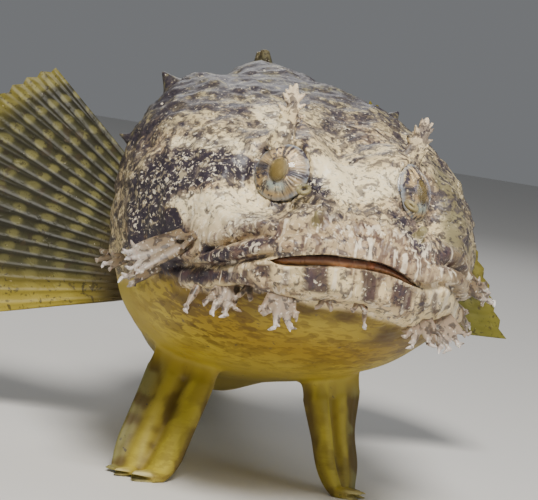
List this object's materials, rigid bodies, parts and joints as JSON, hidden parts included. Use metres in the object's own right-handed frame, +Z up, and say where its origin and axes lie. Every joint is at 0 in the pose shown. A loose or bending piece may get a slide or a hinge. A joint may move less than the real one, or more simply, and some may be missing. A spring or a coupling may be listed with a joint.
{
  "type": "gulf toadfish",
  "caption": "Life-size still model of a gulf toadfish propped on its pelvic fins, wide mouth a little open, tail curved to its left.",
  "frame": {"origin": "on the floor under the middle of the fish's bounding box", "axes": "+Z up; the snout points along -Y and the tail lies towards +Y, curving to +X; the fish's left side is +X"},
  "size_m": [0.1519, 0.253, 0.0957],
  "materials": {
    "skin": "wet scaleless skin: cream mottled with purple-brown on the face, mustard chin, grey-brown back with pale rosettes, barred fins",
    "eye": "glossy clear cornea over a streaked grey and cream iris and an amber pupil"
  },
  "bodies": {
    "root": {"head": "skin", "lower_jaw": "skin", "throat": "skin", "torso": "skin", "tail_front": "skin", "tail_rear": "skin", "caudal_fin": "skin", "spiny_dorsal_fin": "skin", "soft_dorsal_fin": "skin", "anal_fin": "skin", "pectoral_fin_right": "skin", "pectoral_fin_left": "skin", "pelvic_fin_right": "skin", "pelvic_fin_left": "skin", "eye_right": "eye", "eye_left": "eye", "eye_tentacle_right": "skin", "eye_tentacle_left": "skin"}
  },
  "joints": []
}
